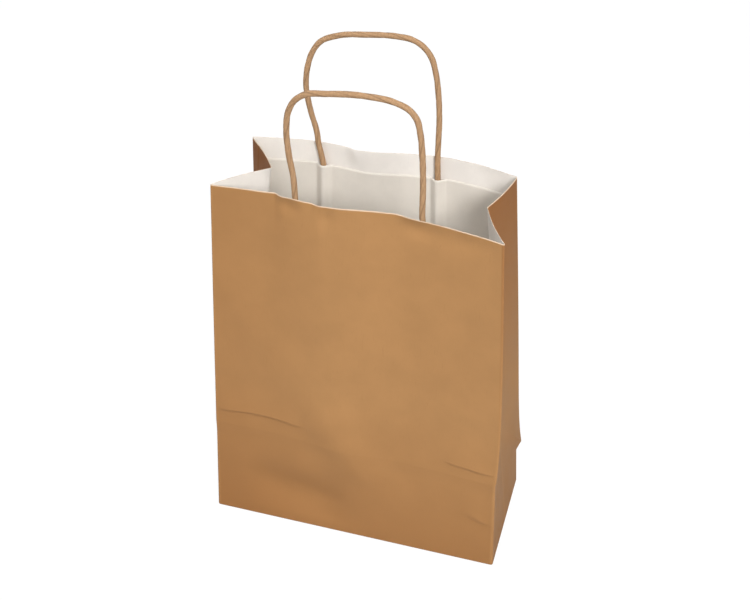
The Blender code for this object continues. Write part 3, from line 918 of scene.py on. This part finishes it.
def cord_route(handle, sizes):
    """Centre line of a handle, from inside the patch on the left to inside it on the right."""
    top = HEIGHT - PATCH_TOP
    levels = np.array(
        (top - CORD_IN_PATCH, top - CORD_IN_PATCH / 2, top, (top + HEIGHT) / 2, HEIGHT))
    climb = np.clip((levels - top) / PATCH_TOP, 0.0, 1.0)
    lean = handle.splay / WIDTH
    legs = [
        inner_points(handle.panel, share + turn * climb, levels, CORD_SEAT, sizes.crumple)
        for share, turn in zip(handle.shares, (lean, 0.0))
    ]
    left, right = legs[0][-1], legs[1][-1]
    tilt = math.radians(handle.lean)
    up = np.array((0.0, math.sin(tilt), math.cos(tilt))) * sizes.handle_height
    arch = [left + (right - left) * way + up * rise for way, rise in handle.bow]
    points = np.concatenate([legs[0], arch, legs[1][::-1]])
    reach = distances(points)
    count = round(reach[-1] / CORD_STEP)
    return smooth(reach, points, np.linspace(0.0, reach[-1], count + 1))


def cord_profile():
    """Round section with one deep fold of the paper and a few shallow ones."""
    angles = np.linspace(0, 2 * math.pi, CORD_SIDES, endpoint=False)
    depth = np.zeros(CORD_SIDES)
    for place, width, share in CORD_FOLDS:
        away = np.abs((angles - place + math.pi) % (2 * math.pi) - math.pi)
        depth += share * np.exp(-((away / width) ** 2))
    return angles, depth


def build_handle(handle, sizes, colours):
    """A cord of twisted paper: its folds wind round it as spiral grooves."""
    route = cord_route(handle, sizes)
    angles, depth = cord_profile()
    tangent = np.gradient(route, axis=0)
    tangent /= np.linalg.norm(tangent, axis=1, keepdims=True)
    side = np.cross(tangent[0], (0.0, 1.0, 0.0))
    side /= np.linalg.norm(side)
    points, painted_groove_shade = [], []
    radius = sizes.cord_diameter / 2
    for place, way, reach in zip(route, tangent, distances(route)):
        side = side - way * (side @ way)
        side /= np.linalg.norm(side)
        other = np.cross(way, side)
        turn = 2 * math.pi * reach / sizes.twist_pitch
        uneven = 1.0
        for height, rate in CORD_LUMPS:
            uneven += height * math.sin(reach * rate)
        for angle, dip in zip(angles, depth):
            around = angle + turn
            size = min(radius * (1 - dip) * (CORD_FILL * uneven), radius)
            points.append(place + side * math.cos(around) * size + other * math.sin(around) * size)
            painted_groove_shade.append(dip / DEEPEST_FOLD)
    faces = grid_faces(len(route), CORD_SIDES, closed=True)
    last = (len(route) - 1) * CORD_SIDES
    faces.append(tuple(range(CORD_SIDES - 1, -1, -1)))
    faces.append(tuple(range(last, last + CORD_SIDES)))
    cord = add_mesh(f"{handle.name}_twisted_cord", points, faces)
    # How deep each point lies in a fold, read by the cord's paper for painted shade in the grooves
    add_attribute(cord, "painted_groove_shade", painted_groove_shade)
    cord.data.materials.append(cord_material(colours))
    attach(cord, "root")
    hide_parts(f"{handle.name}_handle")


def patch_lift(x, heights, feet):
    """How far a patch stands off the wall over the ends of the cord."""
    cord_end = HEIGHT - PATCH_TOP - CORD_IN_PATCH
    patch_end = HEIGHT - PATCH_TOP - PATCH_HEIGHT
    fade = np.clip((heights - patch_end) / (cord_end - patch_end), 0.0, 1.0)
    nearest = np.minimum(np.abs(x - feet[0]), np.abs(x - feet[1]))
    flank = (1 + np.cos(math.pi * np.clip(nearest / RIDGE_HALF_WIDTH, 0.0, 1.0))) / 2
    return (2 * CORD_RADIUS + PATCH_OVER_CORD) * fade * flank


def build_patch(handle, sizes, colours):
    """White patch that follows the panel and rises in a ridge over each end of the cord."""
    margin = PATCH_MARGIN / WIDTH
    shares = set(np.linspace(margin, 1 - margin, PATCH_COLUMNS).round(5))
    for share in handle.shares:
        shares |= set((share + np.linspace(-RIDGE_REACH, RIDGE_REACH, RIDGE_COLUMNS)).round(5))
    shares = np.array(sorted(shares))
    top = HEIGHT - PATCH_TOP
    cord_end = top - CORD_IN_PATCH
    heights = np.concatenate([
        [top - PATCH_HEIGHT], np.linspace(cord_end - PATCH_FOOT, cord_end, PATCH_FOOT_ROWS),
        np.linspace(cord_end, top, PATCH_ROWS)[1:],
    ])
    columns, levels = np.meshgrid(shares, heights)
    feet = [
        inner_points(handle.panel, share, heights, CORD_SEAT, sizes.crumple)[:, 0][:, None]
        for share in handle.shares
    ]
    wall = inner_points(handle.panel, columns, levels, PAPER, sizes.crumple)
    lift = PAPER + PATCH_OVER_WALL + patch_lift(wall[..., 0], levels, feet)
    points = inner_points(handle.panel, columns, levels, lift, sizes.crumple)
    faces = grid_faces(len(heights), len(shares), closed=False)
    patch = add_mesh(f"{handle.name}_patch", points.reshape(-1, 3), faces)
    patch.data.materials.append(white_material(f"{handle.name}_patch_paper", colours.patch))
    add_solidify(patch, 0.0, PATCH_PAPER)
    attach(patch, "root")
    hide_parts(f"{handle.name}_handle_patch")


def studio_material():
    """White ground that the camera sees as white, with the soft shadow of what stands on it."""
    material = bpy.data.materials.new("studio_white")
    material.use_nodes = True
    tree = material.node_tree
    shader = tree.nodes["Principled BSDF"]
    shader.inputs["Base Color"].default_value = (FLOOR_SHADE, FLOOR_SHADE, FLOOR_SHADE, 1.0)
    shader.inputs["Roughness"].default_value = FLOOR_ROUGHNESS
    glow = tree.nodes.new("ShaderNodeEmission")
    glow.inputs["Strength"].default_value = GLOW_STRENGTH
    mix = tree.nodes.new("ShaderNodeMixShader")
    path = tree.nodes.new("ShaderNodeLightPath")
    seen = tree.nodes.new("ShaderNodeMath")
    seen.operation = "MULTIPLY"
    seen.inputs[1].default_value = GLOW_SHARE
    tree.links.new(path.outputs["Is Camera Ray"], seen.inputs[0])
    tree.links.new(seen.outputs["Value"], mix.inputs["Fac"])
    tree.links.new(shader.outputs["BSDF"], mix.inputs[1])
    tree.links.new(glow.outputs["Emission"], mix.inputs[2])
    tree.links.new(mix.outputs["Shader"], tree.nodes["Material Output"].inputs["Surface"])
    return material


def build_floor():
    """A wide floor under the bag."""
    corners = [
        (x * FLOOR_REACH, y * FLOOR_REACH, -FLOOR_DROP)
        for x, y in ((-1, -1), (1, -1), (1, 1), (-1, 1))
    ]
    floor = add_mesh("studio_floor", corners, [(0, 1, 2, 3)])
    floor.data.materials.append(studio_material())


def build_world():
    """Soft light from all round, behind a ground that the camera sees as white."""
    world = bpy.data.worlds.new("studio_world")
    bpy.context.scene.world = world
    world.use_nodes = True
    tree = world.node_tree
    tree.nodes.clear()
    soft = tree.nodes.new("ShaderNodeBackground")
    soft.inputs["Color"].default_value = (1.0, 1.0, 1.0, 1.0)
    soft.inputs["Strength"].default_value = SKY_LEVEL
    white = tree.nodes.new("ShaderNodeBackground")
    white.inputs["Color"].default_value = (1.0, 1.0, 1.0, 1.0)
    path = tree.nodes.new("ShaderNodeLightPath")
    mix = tree.nodes.new("ShaderNodeMixShader")
    out = tree.nodes.new("ShaderNodeOutputWorld")
    tree.links.new(path.outputs["Is Camera Ray"], mix.inputs["Fac"])
    tree.links.new(soft.outputs["Background"], mix.inputs[1])
    tree.links.new(white.outputs["Background"], mix.inputs[2])
    tree.links.new(mix.outputs["Shader"], out.inputs["Surface"])


def build_lamp(lamp):
    """One round soft lamp, turned towards the bag."""
    disc = bpy.data.lights.new(lamp.name, "AREA")
    disc.shape = "DISK"
    disc.size = lamp.size
    disc.spread = math.radians(lamp.spread)
    disc.energy = lamp.power
    light = bpy.data.objects.new(lamp.name, disc)
    light.location = lamp.place
    aim = Vector(LIT_POINT) - Vector(lamp.place)
    light.rotation_euler = aim.to_track_quat("-Z", "Y").to_euler()
    bpy.context.scene.collection.objects.link(light)


def build_camera():
    """The camera at the photograph's place."""
    lens = bpy.data.cameras.new("photo_camera")
    lens.lens = FOCAL_LENGTH
    lens.sensor_width = SENSOR
    camera = bpy.data.objects.new("photo_camera", lens)
    camera.location = CAMERA_PLACE
    camera.rotation_euler = (math.radians(90 - CAMERA_DOWN), 0.0, math.radians(CAMERA_ROUND))
    bpy.context.scene.collection.objects.link(camera)
    bpy.context.scene.camera = camera


class CARRIERBAG_OT_sheet(bpy.types.Operator):
    """Build the folded kraft sheet with its gussets, creases and block bottom"""

    bl_idname = "carrierbag.sheet"
    bl_label = "Folded sheet"

    def execute(self, context):
        build_sheet(context.scene.carrier_bag_sizes, context.scene.carrier_bag_colours)
        build_bottom()
        return {"FINISHED"}


class CARRIERBAG_OT_patches(bpy.types.Operator):
    """Build the white patches that hold the ends of the cords"""

    bl_idname = "carrierbag.patches"
    bl_label = "Handle patches"

    def execute(self, context):
        for handle in handles():
            build_patch(handle, context.scene.carrier_bag_sizes, context.scene.carrier_bag_colours)
        return {"FINISHED"}


class CARRIERBAG_OT_handles(bpy.types.Operator):
    """Build the two handles of twisted paper cord"""

    bl_idname = "carrierbag.handles"
    bl_label = "Twisted handles"

    def execute(self, context):
        for handle in handles():
            build_handle(handle, context.scene.carrier_bag_sizes, context.scene.carrier_bag_colours)
        return {"FINISHED"}


class CARRIERBAG_OT_stage(bpy.types.Operator):
    """Build the white floor, the soft lights and the camera"""

    bl_idname = "carrierbag.stage"
    bl_label = "Studio"

    def execute(self, context):
        build_floor()
        build_world()
        for lamp in LAMPS:
            build_lamp(lamp)
        build_camera()
        return {"FINISHED"}


class VIEW3D_PT_carrier_bag(bpy.types.Panel):
    """Sizes, colours and build steps of the carrier bag"""

    bl_label = "Carrier bag"
    bl_idname = "VIEW3D_PT_carrier_bag"
    bl_space_type = "VIEW_3D"
    bl_region_type = "UI"
    bl_category = "Carrier bag"

    def draw(self, context):
        layout = self.layout
        sizes = context.scene.carrier_bag_sizes
        colours = context.scene.carrier_bag_colours
        for name in ("cord_diameter", "handle_height", "twist_pitch", "crumple"):
            layout.prop(sizes, name)
        for name in ("kraft", "white", "patch", "cut_edge", "cord"):
            layout.prop(colours, name)
        for step in STEPS:
            layout.operator(step.bl_idname)


STEPS = (CARRIERBAG_OT_sheet, CARRIERBAG_OT_patches, CARRIERBAG_OT_handles, CARRIERBAG_OT_stage)
CLASSES = (CarrierBagSizes, CarrierBagColours, *STEPS, VIEW3D_PT_carrier_bag)


def register():
    """Makes the sizes, colours, build steps and panel known to Blender."""
    for item in CLASSES:
        bpy.utils.register_class(item)
    bpy.types.Scene.carrier_bag_sizes = PointerProperty(type=CarrierBagSizes)
    bpy.types.Scene.carrier_bag_colours = PointerProperty(type=CarrierBagColours)


def unregister():
    """Takes them out again."""
    del bpy.types.Scene.carrier_bag_colours
    del bpy.types.Scene.carrier_bag_sizes
    for item in reversed(CLASSES):
        bpy.utils.unregister_class(item)


def main():
    """Builds every piece and the studio in order."""
    register()
    bpy.context.scene.view_settings.view_transform = "Standard"
    bpy.ops.carrierbag.sheet()
    bpy.ops.carrierbag.patches()
    bpy.ops.carrierbag.handles()
    bpy.ops.carrierbag.stage()


if __name__ == "__main__":
    main()
